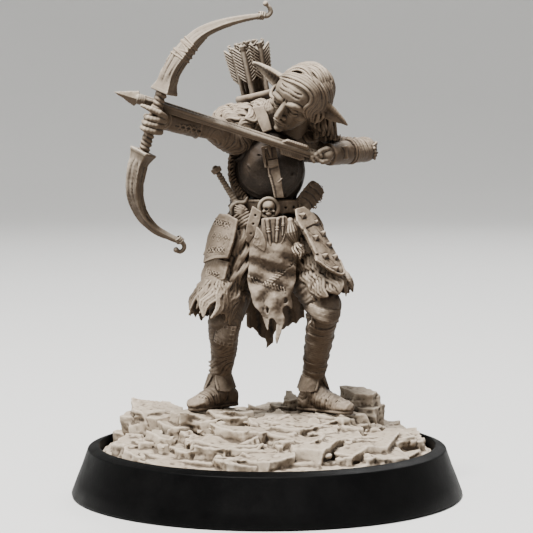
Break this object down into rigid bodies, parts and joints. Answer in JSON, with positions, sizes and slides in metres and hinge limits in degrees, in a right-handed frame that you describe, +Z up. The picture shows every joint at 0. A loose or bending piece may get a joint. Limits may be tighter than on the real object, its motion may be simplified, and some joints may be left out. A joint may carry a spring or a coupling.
{
  "type": "tabletop miniature figure",
  "caption": "Cast archer figure drawing a bow, pegged on a rocky disc that sits in a round rimmed base; an unpainted washed resin finish.",
  "frame": {"origin": "centre of the base's flat underside", "axes": "+Z up; -Y is the front, the side the figure is shown from; +X is the figure's left"},
  "size_m": [0.032, 0.032, 0.0395],
  "materials": {
    "base_black": "satin black",
    "stone_resin": "matte, dark wash in the cracks",
    "skin_resin": "matte, dark wash in the recesses",
    "wood_resin": "matte, dark wash in the grain",
    "fur_resin": "matte, dark wash between the locks",
    "cloth_resin": "matte, dark wash in the folds",
    "leather_resin": "matte, dark wash along the seams",
    "metal_look_resin": "satin, dark wash in the relief"
  },
  "bodies": {
    "base": {"rimmed_base": "base_black"},
    "insert": {"rocky_insert": "stone_resin", "boulder_rear_right": "stone_resin", "boulder_middle": "stone_resin", "boulder_left": "stone_resin"},
    "figure": {"arrow_head": "wood_resin", "arrow_shaft": "wood_resin", "arrow_vane_1": "wood_resin", "arrow_vane_2": "wood_resin", "arrow_vane_3": "wood_resin", "belt": "leather_resin", "belt_buckle": "metal_look_resin", "belt_tail": "leather_resin", "boot_left": "leather_resin", "boot_right": "leather_resin", "bow_grip": "wood_resin", "bow_lower_limb_inner": "wood_resin", "bow_lower_limb_outer": "wood_resin", "bow_lower_nock": "wood_resin", "bow_upper_binding": "wood_resin", "bow_upper_limb_inner": "wood_resin", "bow_upper_limb_outer": "wood_resin", "bow_upper_nock": "wood_resin", "chest_strap": "leather_resin", "cuirass_front": "leather_resin", "dagger_hilt": "metal_look_resin", "dagger_scabbard": "leather_resin", "dart_holder": "leather_resin", "ear_left": "skin_resin", "ear_right": "skin_resin", "forearm_left": "leather_resin", "forearm_right": "leather_resin", "fur_mantle": "fur_resin", "fur_skirt_left": "fur_resin", "fur_skirt_right": "fur_resin", "hair": "fur_resin", "hand_left": "skin_resin", "hand_right": "skin_resin", "head": "skin_resin", "hip_pouch": "leather_resin", "jerkin_back": "cloth_resin", "loincloth": "cloth_resin", "pelvis": "cloth_resin", "plume_tassel": "leather_resin", "quiver": "leather_resin", "quiver_arrow_1": "wood_resin", "quiver_arrow_2": "wood_resin", "quiver_arrow_3": "wood_resin", "quiver_arrow_4": "wood_resin", "rear_cloth": "cloth_resin", "rope_bundle": "leather_resin", "shin_left": "cloth_resin", "shin_right": "cloth_resin", "tasset_left": "leather_resin", "tasset_right_lower": "leather_resin", "tasset_right_upper": "leather_resin", "thigh_left": "cloth_resin", "thigh_right": "cloth_resin", "upper_arm_left": "cloth_resin", "upper_arm_right": "cloth_resin"}
  },
  "joints": [
    {"name": "insert_turn", "type": "hinge", "parent": "base", "child": "insert", "pos_m": [0, 0, 0], "axis": [0, 0, 1], "continuous": true},
    {"name": "figure_lift", "type": "slide", "parent": "insert", "child": "figure", "axis": [0, 0, 1], "range_m": [0, 0.005]}
  ]
}
